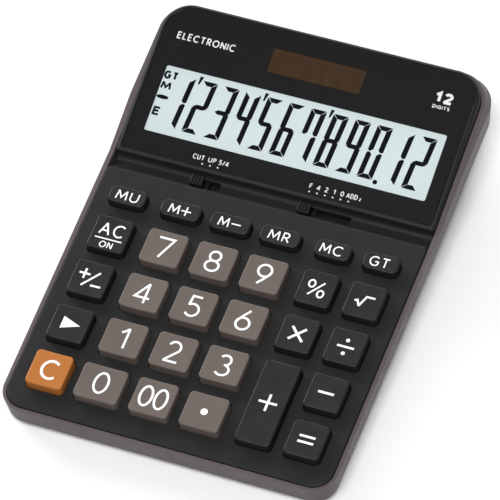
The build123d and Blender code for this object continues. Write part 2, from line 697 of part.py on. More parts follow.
# ---------------------------------------------------------------- circuit board
with BuildPart() as main_pcb:
    with BuildSketch(deck.offset(-BOARD_BOTTOM)):
        board_low, shoulder_low, board_shoulder = 9.6, 11.6, 98.0
        with BuildLine():
            Polyline(
                (-52, board_low),
                (52, board_low),
                (52, shoulder_low),
                (57, shoulder_low),
                (57, board_shoulder),
                (52.8, board_shoulder),
                (52.8, BOARD_EDGE),
                (-52.8, BOARD_EDGE),
                (-52.8, board_shoulder),
                (-57, board_shoulder),
                (-57, shoulder_low),
                (-52, shoulder_low),
                close=True,
            )
        make_face()
        with Locations(*BOARD_SCREWS):
            Circle(1.2, mode=Mode.SUBTRACT)
    extrude(amount=BOARD_BOTTOM - BOARD_TOP)
finish(main_pcb, "main_pcb")

GLOB_X, GLOB_Y = -9.0, 56.0
with BuildPart() as chip_glob:
    with BuildSketch(deck.offset(-BOARD_BOTTOM)):
        with Locations((GLOB_X, GLOB_Y)):
            Circle(7.0)
    extrude(amount=-1.6, taper=30)
    fillet(chip_glob.faces().sort_by(Axis(deck.origin, deck.z_dir))[0].edges(), 0.8)
finish(chip_glob, "chip_glob")

# Ceramic capacitors and resistors beside the chip, and one standing electrolytic pair
CHIP_PARTS = [(-24, 50), (-24, 53), (-24, 56), (-24, 59), (6, 50), (6, 53), (6, 56), (6, 59), (6, 62)]
CAPACITORS = [(22, 100.5), (30, 100.5)]
with BuildPart() as pcb_components:
    with BuildSketch(deck.offset(-BOARD_BOTTOM)):
        with Locations(*CHIP_PARTS):
            Rectangle(3.2, 1.6)
    extrude(amount=-0.9)
    with BuildSketch(deck.offset(-BOARD_BOTTOM)):
        with Locations(*CAPACITORS):
            Circle(2.5)
    extrude(amount=-4.2)
finish(pcb_components, "pcb_components")


def make_screws(places, length, diameter, head_diameter, head_height):
    """Pan-head screws pointing up from planes that lie on the seats of their heads."""
    with BuildPart() as screws:
        for place in places:
            with BuildSketch(place):
                Circle(diameter / 2)
            extrude(amount=length)
            with BuildSketch(place):
                Circle(head_diameter / 2)
            extrude(amount=-head_height)
            with BuildSketch(place.offset(-head_height)):
                Rectangle(head_diameter * 0.62, head_diameter * 0.16)
                Rectangle(head_diameter * 0.16, head_diameter * 0.62)
            extrude(amount=head_height * 0.5, mode=Mode.SUBTRACT)
    return screws


board_seat = deck.offset(-BOARD_BOTTOM)
board_places = []
for x, y in BOARD_SCREWS:
    screw_point = board_seat.from_local_coords((x, y, 0))
    board_places.append(Plane(screw_point, x_dir=(1, 0, 0), z_dir=deck.z_dir))
finish(make_screws(board_places, 4.6, 2.0, 3.8, 1.2), "pcb_screws")

# ---------------------------------------------------------------- lower case
collar_angle = math.degrees(math.atan((COLLAR_BACK_HEIGHT - COLLAR_FRONT_HEIGHT) / DEPTH))
collar_plane = tilted_plane(0, COLLAR_FRONT_HEIGHT, collar_angle)
BAY_BOTTOM = BELLY_BOTTOM + COVER_THICKNESS
BELLY_FLOOR = BELLY_BOTTOM + WALL
cell_y = behind(CELL_DISTANCE)


def side_band(top, bottom):
    """Side view of the space between two side lines."""
    with BuildSketch(Plane.YZ) as profile:
        with BuildLine():
            Polyline(*top, *reversed(bottom), close=True)
        make_face()
    return profile.sketch


with BuildPart() as lower_room:
    with BuildSketch():
        room_front = RIM_FRONT + LIP_THICKNESS
        room_back = DEPTH - RIM_WIDTH - LIP_THICKNESS
        add(case_outline(RIM_WIDTH + LIP_GAP + LIP_THICKNESS, room_front, room_back))
    extrude(amount=2 * PANEL_START_HEIGHT)
    room = side_band(side_line(rim_height, ABOVE_RIM), side_line(band_height, WALL))
    extrude(room, amount=WIDTH, both=True, mode=Mode.INTERSECT)

with BuildPart() as lip_room:
    with BuildSketch():
        add(case_outline(RIM_WIDTH, RIM_FRONT, DEPTH - RIM_WIDTH + LIP_GAP))
    extrude(amount=2 * PANEL_START_HEIGHT)
    room = side_band(side_line(rim_height, ABOVE_RIM), side_line(rim_height, -LIP_DEPTH))
    extrude(room, amount=WIDTH, both=True, mode=Mode.INTERSECT)

# Sloping collar that narrows the lower case above a line rising to the back, on a wide foot
with BuildPart() as collar:
    collar_width = 2 * (FLARE_HALF_WIDTH - COLLAR_INSET)
    collar_front = -2 * CORNER_BACK
    collar_back = (FLARE_BACK - COLLAR_INSET) / math.cos(math.radians(collar_angle))
    with BuildSketch(collar_plane):
        with Locations((0, (collar_front + collar_back) / 2)):
            RectangleRounded(collar_width, collar_back - collar_front, CORNER_BACK)
    extrude(amount=COLLAR_RISE, taper=COLLAR_DRAFT)
    with BuildSketch(collar_plane):
        with Locations((0, (collar_front + collar_back) / 2)):
            Rectangle(2 * collar_width, 2 * collar_back)
    extrude(amount=-2.5 * BAND_HEIGHT)

with BuildPart() as lower_case:
    with BuildSketch(Plane.XY.offset(FLARE_HEIGHT)):
        flare_front = -(FLARE_HEIGHT - RIM_FRONT_HEIGHT) * slope(BAND_DRAFT)
        flare_size = (FLARE_HALF_WIDTH, behind(flare_front), behind(FLARE_BACK))
        add(rounded_outline(*flare_size, FLARE_CORNER, CORNER_BACK))
    extrude(amount=-FLARE_HEIGHT, taper=BAND_DRAFT)
    band = side_band(side_line(rim_height), side_line(band_height))
    extrude(band, amount=WIDTH, both=True, mode=Mode.INTERSECT)
    underside = lower_case.faces().filter_by(lambda face: face.normal_at().Z < -0.95)
    bend = underside.edges().filter_by(Axis.X).sort_by(Axis.Y)[1:-1]
    fillet(underside.edges() - bend, UNDERSIDE_RADIUS)
    add(collar.part, mode=Mode.INTERSECT)
    with BuildSketch(Plane.XY.offset(BELLY_BOTTOM)):
        belly_size = (BELLY_HALF_WIDTH, behind(BELLY_FRONT), behind(BELLY_BACK))
        add(rounded_outline(*belly_size, BELLY_RADIUS, BELLY_RADIUS))
    extrude(amount=BELLY_RISE, taper=-BELLY_DRAFT)
    belly_face = lower_case.faces().sort_by(Axis.Z)[0]
    fillet(belly_face.edges(), 1.0)
    add(lower_room.part, mode=Mode.SUBTRACT)
    with BuildSketch(Plane.XY.offset(BELLY_FLOOR)):
        belly_inside = (BELLY_HALF_WIDTH - WALL, behind(BELLY_FRONT + WALL), behind(BELLY_BACK - WALL))
        add(rounded_outline(*belly_inside, BELLY_RADIUS - WALL, BELLY_RADIUS - WALL))
    extrude(amount=BELLY_RISE, taper=-BELLY_DRAFT, mode=Mode.SUBTRACT)
    add(lip_room.part, mode=Mode.SUBTRACT)
    # Towers for the case screws, counterbored from below
    for distance, half_spacing, seat in CASE_SCREWS:
        floor_height = band_height(distance)
        spots = [(-half_spacing, behind(distance)), (half_spacing, behind(distance))]
        with BuildSketch(Plane.XY.offset(floor_height + 1.0)):
            with Locations(*spots):
                Circle(TOWER_DIAMETER / 2)
        extrude(amount=seat + TOWER_ABOVE_SEAT - floor_height - 1.0)
        with BuildSketch(Plane.XY.offset(floor_height - 1.0)):
            with Locations(*spots):
                Circle(CASE_HEAD_DIAMETER / 2 + 0.3)
        extrude(amount=seat - floor_height + 1.0, mode=Mode.SUBTRACT)
        with BuildSketch(Plane.XY.offset(floor_height)):
            with Locations(*spots):
                Circle(CASE_SCREW_DIAMETER / 2 + SCREW_FIT)
        extrude(amount=seat + TOWER_ABOVE_SEAT - floor_height, mode=Mode.SUBTRACT)
    # Shallow recesses for the feet
    with BuildSketch(Plane.XY.offset(BELLY_BOTTOM)):
        with Locations(*FEET):
            Circle(FOOT_DIAMETER / 2 + 0.1)
    extrude(amount=FOOT_RECESS, mode=Mode.SUBTRACT)
    # Battery bay with its roof, and the boss for the screw of the cover
    with BuildSketch(Plane.XY.offset(BELLY_FLOOR - 0.2)):
        with Locations((CELL_X, cell_y)):
            RectangleRounded(2 * (BAY_HALF + BAY_WALL), 2 * (BAY_HALF + BAY_WALL), 1.2)
    extrude(amount=BAY_ROOF + BAY_WALL - BELLY_FLOOR + 0.2)
    with BuildSketch(Plane.XY.offset(BELLY_FLOOR - 0.2)):
        with Locations((COVER_SCREW_X, cell_y)):
            Circle(2.6)
    extrude(amount=5.0)
    with BuildSketch(Plane.XY.offset(BELLY_BOTTOM)):
        with Locations((COVER_X, cell_y)):
            RectangleRounded(COVER_LENGTH + 2 * COVER_GAP, COVER_WIDTH + 2 * COVER_GAP, 1.5)
    extrude(amount=COVER_THICKNESS, mode=Mode.SUBTRACT)
    with BuildSketch(Plane.XY.offset(BAY_BOTTOM)):
        with Locations((CELL_X, cell_y)):
            RectangleRounded(2 * BAY_HALF, 2 * BAY_HALF, 0.6)
    extrude(amount=BAY_ROOF - BAY_BOTTOM, mode=Mode.SUBTRACT)
    with BuildSketch(Plane.XY.offset(BAY_BOTTOM)):
        with Locations((COVER_SCREW_X, cell_y)):
            Circle(1.0 + SCREW_FIT)
    extrude(amount=4.8, mode=Mode.SUBTRACT)
    # Slot in the ledge for the hook of the cover, and wire holes in the roof of the bay
    with BuildSketch(Plane.XY.offset(BAY_BOTTOM)):
        with Locations((COVER_X - COVER_LENGTH / 2 + 1.9, cell_y)):
            Rectangle(2.0, 6.4)
    extrude(amount=1.0, mode=Mode.SUBTRACT)
    with BuildSketch(Plane.XY.offset(BAY_ROOF)):
        with Locations((CELL_X - 5, cell_y - 5.5), (CELL_X + 3, cell_y - 5.5)):
            Circle(0.7)
    extrude(amount=BAY_WALL, mode=Mode.SUBTRACT)
finish(lower_case, "lower_case")

with BuildPart() as rubber_feet:
    with BuildSketch():
        with Locations(*FEET):
            Circle(FOOT_DIAMETER / 2)
    extrude(amount=BELLY_BOTTOM + FOOT_RECESS)
    chamfer(rubber_feet.faces().group_by(Axis.Z)[0].edges(), 0.3)
finish(rubber_feet, "rubber_feet")

case_places = []
for distance, half_spacing, seat in CASE_SCREWS:
    for side in (-1, 1):
        case_places.append(Plane.XY.move(Location((side * half_spacing, behind(distance), seat))))
finish(make_screws(case_places, 4.4, CASE_SCREW_DIAMETER, CASE_HEAD_DIAMETER, 1.5), "case_screws")

# ---------------------------------------------------------------- battery
with BuildPart() as button_cell:
    with BuildSketch(Plane.XY.offset(BELLY_FLOOR)):
        with Locations((CELL_X, cell_y)):
            Circle(CELL_DIAMETER / 2)
    extrude(amount=CELL_THICKNESS - 0.6)
    fillet(button_cell.edges(), 0.4)
    with BuildSketch(Plane.XY.offset(BELLY_FLOOR + CELL_THICKNESS - 0.6)):
        with Locations((CELL_X, cell_y)):
            Circle(CELL_DIAMETER / 2 - 1.2)
    extrude(amount=0.6)
finish(button_cell, "button_cell")

CONTACT_THICKNESS = 0.25
CELL_TOP = BELLY_FLOOR + CELL_THICKNESS
with BuildPart() as battery_contact_negative:
    with BuildSketch(Plane.XZ.offset(-cell_y)):
        with BuildLine():
            Polyline(
                (CELL_X - 5.5, BAY_ROOF - 0.15),
                (CELL_X + 4.0, BAY_ROOF - 0.15),
                (CELL_X + 4.4, BAY_ROOF - 0.4),
                (CELL_X - 1.0, CELL_TOP + 0.15),
            )
        trace(line_width=CONTACT_THICKNESS)
    extrude(amount=2.0, both=True)
    with BuildSketch(Plane.XY.offset(BAY_ROOF - 0.27)):
        with Locations((CELL_X + 3, cell_y - 4.2)):
            Rectangle(2.0, 4.6)
    extrude(amount=CONTACT_THICKNESS)
finish(battery_contact_negative, "battery_contact_negative")

with BuildPart() as battery_contact_positive:
    cell_left = CELL_X - CELL_DIAMETER / 2
    with BuildSketch(Plane.XZ.offset(-cell_y)):
        with BuildLine():
            Polyline(
                (CELL_X - BAY_HALF + 0.2, BAY_ROOF - 0.2),
                (CELL_X - BAY_HALF + 0.2, BELLY_FLOOR + 1.6),
                (cell_left - 0.15, BELLY_FLOOR + 2.6),
                (cell_left - 0.5, BELLY_FLOOR + 3.6),
            )
        trace(line_width=CONTACT_THICKNESS)
    extrude(amount=2.0, both=True)
    with BuildSketch(Plane.YZ.offset(CELL_X - BAY_HALF + 0.08)):
        with Locations((cell_y - 4.4, BAY_ROOF - 1.2)):
            Rectangle(5.0, 2.2)
    extrude(amount=CONTACT_THICKNESS)
    with BuildSketch(Plane.XY.offset(BAY_ROOF - 0.35)):
        with Locations((CELL_X - 6.0, cell_y - 5.6)):
            Rectangle(2.8, 1.8)
    extrude(amount=CONTACT_THICKNESS)
finish(battery_contact_positive, "battery_contact_positive")

with BuildPart() as battery_wires:
    roof_top = BAY_ROOF - 0.02
    for wire_x in (CELL_X - 5, CELL_X + 3):
        battery_route = [
            (CELL_DISTANCE - 5.5, roof_top),
            (CELL_DISTANCE - 5.5, BAY_ROOF + 2.6),
            (120.0, 11.4),
            (115.5, 8.4),
            (111.5, 8.4),
            (111.5, deck_height(111.5, BOARD_BOTTOM)),
        ]
        add(wire(wire_x, battery_route, 0.7))
finish(battery_wires, "battery_wires")

with BuildPart() as battery_cover:
    with BuildSketch(Plane.XY.offset(BELLY_BOTTOM)):
        with Locations((COVER_X, cell_y)):
            RectangleRounded(COVER_LENGTH, COVER_WIDTH, 1.4)
    extrude(amount=COVER_THICKNESS)
    with BuildSketch(Plane.XY.offset(BAY_BOTTOM)):
        with Locations((CELL_X, cell_y)):
            Circle(4.0)
    extrude(amount=BELLY_FLOOR - BAY_BOTTOM)
    hook_x = COVER_X - COVER_LENGTH / 2 + 1.9
    with BuildSketch(Plane.XY.offset(BAY_BOTTOM)):
        with Locations((hook_x + 0.3, cell_y)):
            Rectangle(1.0, 5.6)
    extrude(amount=1.9)
    with BuildSketch(Plane.XY.offset(BELLY_FLOOR + 0.1)):
        with Locations((hook_x - 0.8, cell_y)):
            Rectangle(2.4, 5.6)
    extrude(amount=1.0)
    with BuildSketch(Plane.XY.offset(BELLY_BOTTOM)):
        with Locations((COVER_SCREW_X, cell_y)):
            Circle(1.9)
    extrude(amount=0.7, mode=Mode.SUBTRACT)
    with BuildSketch(Plane.XY.offset(BELLY_BOTTOM)):
        with Locations((COVER_SCREW_X, cell_y)):
            Circle(1.1)
    extrude(amount=COVER_THICKNESS, mode=Mode.SUBTRACT)
finish(battery_cover, "battery_cover")

cover_seat = Plane.XY.move(Location((COVER_SCREW_X, cell_y, BELLY_BOTTOM + 0.7)))
finish(make_screws([cover_seat], 4.5, 2.0, 3.6, 0.65), "battery_cover_screw")
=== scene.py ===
import bpy
import bmesh
import json
import math
from mathutils import Matrix, Vector
from mathutils.geometry import delaunay_2d_cdt


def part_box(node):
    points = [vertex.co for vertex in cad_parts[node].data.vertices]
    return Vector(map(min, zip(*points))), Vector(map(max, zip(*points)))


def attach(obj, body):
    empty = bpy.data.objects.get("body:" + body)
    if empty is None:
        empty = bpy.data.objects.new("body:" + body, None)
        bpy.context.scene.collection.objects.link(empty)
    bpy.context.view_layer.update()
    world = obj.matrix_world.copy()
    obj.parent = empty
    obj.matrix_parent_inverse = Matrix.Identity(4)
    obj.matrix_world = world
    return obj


# Looks of a desk calculator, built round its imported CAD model.
# Lengths in the helpers are millimetres on the two sloping surfaces: the keyboard deck and
# the display panel. MM turns them into the frame's metres.

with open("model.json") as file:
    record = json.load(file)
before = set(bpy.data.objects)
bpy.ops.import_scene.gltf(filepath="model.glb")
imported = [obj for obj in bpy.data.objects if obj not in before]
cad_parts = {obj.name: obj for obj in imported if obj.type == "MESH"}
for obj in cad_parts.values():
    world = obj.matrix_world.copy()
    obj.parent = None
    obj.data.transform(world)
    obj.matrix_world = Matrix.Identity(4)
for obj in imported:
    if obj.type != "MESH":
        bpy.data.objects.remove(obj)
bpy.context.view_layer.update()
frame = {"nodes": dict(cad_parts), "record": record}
MM = 0.001

# ------------------------------------------------------------ the two sloping surfaces
DECK_TILT = 2.5
DECK_FRONT_HEIGHT = 12.0
PANEL_TILT = 14.4
PANEL_START = 113.2
PANEL_START_HEIGHT = 17.48
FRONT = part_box("lower_case")[0].y / MM


def sloping_surface(distance, height, degrees):
    """Matrix from millimetres across, along and above a sloping surface to the frame."""
    place = Matrix.Translation(Vector((0, FRONT + distance, height)) * MM)
    return place @ Matrix.Rotation(math.radians(degrees), 4, "X") @ Matrix.Scale(MM, 4)


DECK = sloping_surface(0, DECK_FRONT_HEIGHT, DECK_TILT)
PANEL = sloping_surface(PANEL_START, PANEL_START_HEIGHT, PANEL_TILT)


def along_panel(distance):
    """Distance up the display panel of a point this far behind the front edge."""
    return (distance - PANEL_START) / math.cos(math.radians(PANEL_TILT))


# ------------------------------------------------------------ materials
def start_material(name):
    """A new material with its node tree and its main shader."""
    material = bpy.data.materials.new(name)
    material.use_nodes = True
    return material, material.node_tree, material.node_tree.nodes["Principled BSDF"]


# Moulded grain, as noise scale and depth in metres, and the strength of flow marks
CASE_GRAIN = 3200
CASE_GRAIN_DEPTH = 0.00002
KEY_GRAIN = 2600
KEY_GRAIN_DEPTH = 0.000012
KEY_ROUGHNESS = 0.42
KEY_SPECULAR = 0.3
MOTTLE = 0.05


def add_noise(tree, scale, detail, low, high):
    """Noise over the object's own space, mapped to a range."""
    coordinates = tree.nodes.new("ShaderNodeTexCoord")
    noise = tree.nodes.new("ShaderNodeTexNoise")
    noise.inputs["Scale"].default_value = scale
    noise.inputs["Detail"].default_value = detail
    spread = tree.nodes.new("ShaderNodeMapRange")
    spread.inputs["From Min"].default_value = 0.3
    spread.inputs["From Max"].default_value = 0.7
    spread.inputs["To Min"].default_value = low
    spread.inputs["To Max"].default_value = high
    tree.links.new(coordinates.outputs["Object"], noise.inputs["Vector"])
    tree.links.new(noise.outputs["Fac"], spread.inputs["Value"])
    return spread.outputs["Result"]


def add_tint(tree, colour, factor):
    """The colour, made lighter and darker by a factor near one."""
    scaled = tree.nodes.new("ShaderNodeVectorMath")
    scaled.operation = "SCALE"
    scaled.inputs[0].default_value = colour
    tree.links.new(factor, scaled.inputs["Scale"])
    return scaled.outputs["Vector"]


def add_bump(tree, shader, height, depth):
    """Fine relief of the surface, as deep as the depth in metres."""
    bump = tree.nodes.new("ShaderNodeBump")
    bump.inputs["Strength"].default_value = 1.0
    bump.inputs["Distance"].default_value = depth
    tree.links.new(height, bump.inputs["Height"])
    tree.links.new(bump.outputs["Normal"], shader.inputs["Normal"])


def moulded(name, colour, roughness=0.5, grain=CASE_GRAIN, depth=CASE_GRAIN_DEPTH, specular=0.5):
    """Moulded plastic or rubber: a fine spark-eroded grain, slight flow marks, uneven sheen."""
    material, tree, shader = start_material(name)
    flow = add_noise(tree, 55, 4, 1 - MOTTLE, 1 + MOTTLE)
    tree.links.new(add_tint(tree, colour, flow), shader.inputs["Base Color"])
    sheen = add_noise(tree, 130, 5, roughness - 0.05, roughness + 0.05)
    tree.links.new(sheen, shader.inputs["Roughness"])
    add_bump(tree, shader, add_noise(tree, grain, 3, 0, 1), depth)
    shader.inputs["Specular IOR Level"].default_value = specular
    return material


def metal(name, colour, roughness=0.3, grain=900):
    """Plated steel or spring strip, with rolling marks."""
    material, tree, shader = start_material(name)
    stain = add_noise(tree, 300, 4, 0.9, 1.05)
    tree.links.new(add_tint(tree, colour, stain), shader.inputs["Base Color"])
    sheen = add_noise(tree, grain, 4, roughness - 0.08, roughness + 0.1)
    tree.links.new(sheen, shader.inputs["Roughness"])
    add_bump(tree, shader, add_noise(tree, grain, 2, 0, 1), 0.00001)
    shader.inputs["Metallic"].default_value = 1.0
    return material


def ink(name, colour, roughness=0.45, specular=0.5):
    """Screen-printed ink, slightly uneven."""
    material, tree, shader = start_material(name)
    cover = add_noise(tree, 700, 3, 0.96, 1.02)
    tree.links.new(add_tint(tree, colour, cover), shader.inputs["Base Color"])
    sheen = add_noise(tree, 1500, 3, roughness - 0.06, roughness + 0.06)
    tree.links.new(sheen, shader.inputs["Roughness"])
    add_bump(tree, shader, add_noise(tree, 4000, 2, 0, 1), 0.000006)
    shader.inputs["Specular IOR Level"].default_value = specular
    return material


def clear_sheet(name, roughness=0.1):
    """Thin clear plastic: see-through, with a soft reflection that grows at grazing angles."""
    material, tree, shader = start_material(name)
    tree.nodes.remove(shader)
    clear = tree.nodes.new("ShaderNodeBsdfTransparent")
    clear.inputs["Color"].default_value = (0.99, 0.995, 0.995, 1)
    gloss = tree.nodes.new("ShaderNodeBsdfGlossy")
    tree.links.new(add_noise(tree, 90, 3, roughness - 0.02, roughness + 0.03), gloss.inputs["Roughness"])
    fresnel = tree.nodes.new("ShaderNodeFresnel")
    fresnel.inputs["IOR"].default_value = 1.2
    mix = tree.nodes.new("ShaderNodeMixShader")
    tree.links.new(fresnel.outputs["Fac"], mix.inputs["Fac"])
    tree.links.new(clear.outputs["BSDF"], mix.inputs[1])
    tree.links.new(gloss.outputs["BSDF"], mix.inputs[2])
    tree.links.new(mix.outputs["Shader"], tree.nodes["Material Output"].inputs["Surface"])
    return material


def solar_glass(name):
    """Amorphous silicon behind glass: brown, with faint scribed lines across it."""
    material, tree, shader = start_material(name)
    coordinates = tree.nodes.new("ShaderNodeTexCoord")
    lines = tree.nodes.new("ShaderNodeTexWave")
    lines.wave_profile = "SIN"
    lines.inputs["Scale"].default_value = 52
    tree.links.new(coordinates.outputs["Object"], lines.inputs["Vector"])
    scribe = tree.nodes.new("ShaderNodeMapRange")
    scribe.inputs["From Min"].default_value = 0.96
    scribe.inputs["From Max"].default_value = 1.0
    scribe.inputs["To Min"].default_value = 1.0
    scribe.inputs["To Max"].default_value = 0.72
    tree.links.new(lines.outputs["Fac"], scribe.inputs["Value"])
    cloud = add_noise(tree, 80, 3, 0.97, 1.02)
    product = tree.nodes.new("ShaderNodeMath")
    product.operation = "MULTIPLY"
    tree.links.new(scribe.outputs["Result"], product.inputs[0])
    tree.links.new(cloud, product.inputs[1])
    brown = add_tint(tree, (0.052, 0.025, 0.009), product.outputs["Value"])
    tree.links.new(brown, shader.inputs["Base Color"])
    tree.links.new(add_noise(tree, 300, 2, 0.2, 0.3), shader.inputs["Roughness"])
    shader.inputs["Specular IOR Level"].default_value = 0.25
    return material


def lcd_surface(name):
    """Polariser over the reflector: pale grey-green with the reflector's fine sparkle."""
    material, tree, shader = start_material(name)
    sparkle = add_noise(tree, 6000, 2, 0.95, 1.04)
    tree.links.new(add_tint(tree, (0.66, 0.735, 0.74), sparkle), shader.inputs["Base Color"])
    tree.links.new(add_noise(tree, 500, 2, 0.35, 0.45), shader.inputs["Roughness"])
    add_bump(tree, shader, add_noise(tree, 5000, 2, 0, 1), 0.000004)
    return material


def laminate(name, colour, trace):
    """Circuit board: solder mask with faint copper tracks under it."""
    material, tree, shader = start_material(name)
    coordinates = tree.nodes.new("ShaderNodeTexCoord")
    bricks = tree.nodes.new("ShaderNodeTexBrick")
    bricks.inputs["Scale"].default_value = 160
    bricks.inputs["Mortar Size"].default_value = 0.03
    bricks.inputs["Color1"].default_value = (*colour, 1)
    bricks.inputs["Color2"].default_value = (*[c * 0.9 for c in colour], 1)
    bricks.inputs["Mortar"].default_value = (*trace, 1)
    tree.links.new(coordinates.outputs["Object"], bricks.inputs["Vector"])
    tree.links.new(bricks.outputs["Color"], shader.inputs["Base Color"])
    tree.links.new(add_noise(tree, 400, 3, 0.25, 0.4), shader.inputs["Roughness"])
    return material


KEY_FINISH = {
    "roughness": KEY_ROUGHNESS, "grain": KEY_GRAIN, "depth": KEY_GRAIN_DEPTH, "specular": KEY_SPECULAR,
}
CASE_BLACK = moulded("case_black_plastic", (0.0125, 0.0125, 0.0125), 0.5, specular=0.2)
CASE_BROWN = moulded("case_brown_plastic", (0.092, 0.074, 0.077), 0.48, specular=0.25)
KEY_BLACK = moulded("key_black_plastic", (0.0125, 0.0125, 0.0125), **KEY_FINISH)
KEY_TAUPE = moulded("key_taupe_plastic", (0.118, 0.096, 0.084), **KEY_FINISH)
KEY_ORANGE = moulded("key_orange_plastic", (0.40, 0.135, 0.026), **KEY_FINISH)
KNOB_BLACK = moulded("knob_black_plastic", (0.009, 0.009, 0.0095), 0.35, specular=0.22)
MASK_BLACK = ink("mask_black_print", (0.0095, 0.0095, 0.0097), 0.6, 0.12)
FRAME_BLACK = moulded("frame_plastic", (0.02, 0.02, 0.02), 0.6)
RUBBER_FOOT = moulded("foot_rubber", (0.02, 0.02, 0.02), 0.8, 1800, 0.00005, specular=0.2)
RUBBER_MAT = moulded("mat_rubber", (0.52, 0.52, 0.5), 0.65, 2400, 0.00002, specular=0.3)
CARBON = moulded("carbon_pill", (0.015, 0.015, 0.015), 0.7)
EPOXY = moulded("chip_epoxy", (0.012, 0.012, 0.012), 0.22, 500, 0.00004)
CERAMIC = moulded("component_ceramic", (0.42, 0.33, 0.22), 0.5)
RED_WIRE = moulded("wire_insulation", (0.45, 0.02, 0.015), 0.4, 900, 0.00002)
RIBBON = moulded("ribbon_film", (0.35, 0.2, 0.05), 0.3, 900, 0.00001)
BOARD = laminate("board_laminate", (0.006, 0.0055, 0.005), (0.012, 0.011, 0.009))
STEEL = metal("zinc_plated_steel", (0.62, 0.62, 0.63), 0.32)
CELL_STEEL = metal("cell_nickel", (0.72, 0.71, 0.69), 0.22)
SPRING = metal("spring_strip", (0.78, 0.72, 0.55), 0.28)
WINDOW = clear_sheet("window_clear_plastic")
SOLAR = solar_glass("solar_cell_glass")
LCD = lcd_surface("lcd_polariser")
LCD_FILM = ink("lcd_reflector_film", (0.6, 0.65, 0.64), 0.4)
WHITE_INK = ink("white_legend_ink", (0.86, 0.86, 0.85))
LCD_INK = ink("lcd_dark_segment", (0.002, 0.0025, 0.0035), 0.5, 0.05)

NODE_MATERIALS = {
    "upper_case": CASE_BLACK, "lower_case": CASE_BROWN, "battery_cover": CASE_BROWN,
    "display_window": WINDOW, "window_mask": MASK_BLACK, "lcd_cell": LCD, "lcd_reflector": LCD_FILM,
    "lcd_frame": FRAME_BLACK, "lcd_heat_seal": RIBBON, "solar_cell": SOLAR, "solar_wires": RED_WIRE,
    "battery_wires": RED_WIRE, "main_pcb": BOARD, "chip_glob": EPOXY, "pcb_components": CERAMIC,
    "pcb_screws": STEEL, "case_screws": STEEL, "battery_cover_screw": STEEL, "rubber_key_mat": RUBBER_MAT,
    "key_contact_pills": CARBON, "button_cell": CELL_STEEL, "battery_contact_positive": SPRING,
    "battery_contact_negative": SPRING, "rubber_feet": RUBBER_FOOT, "rounding_switch_knob": KNOB_BLACK,
    "decimal_switch_knob": KNOB_BLACK, "rounding_switch_wiper": SPRING, "decimal_switch_wiper": SPRING,
}
KEY_MATERIALS = {"key_black": KEY_BLACK, "key_taupe": KEY_TAUPE, "key_orange": KEY_ORANGE}

for subpart in frame["record"]["subparts"]:
    node = subpart["node"]
    material = NODE_MATERIALS.get(node) or KEY_MATERIALS[subpart["material_slot"]]
    mesh = frame["nodes"][node].data
    mesh.materials.clear()
    mesh.materials.append(material)


# ------------------------------------------------------------ lettering
def arc(x, y, rx, ry, start, end):
    """Points along an ellipse's arc, in degrees anticlockwise from +X."""
    count = max(3, round(abs(end - start) / 12))
    angles = [math.radians(start + (end - start) * i / count) for i in range(count + 1)]
    return [(x + rx * math.cos(a), y + ry * math.sin(a)) for a in angles]


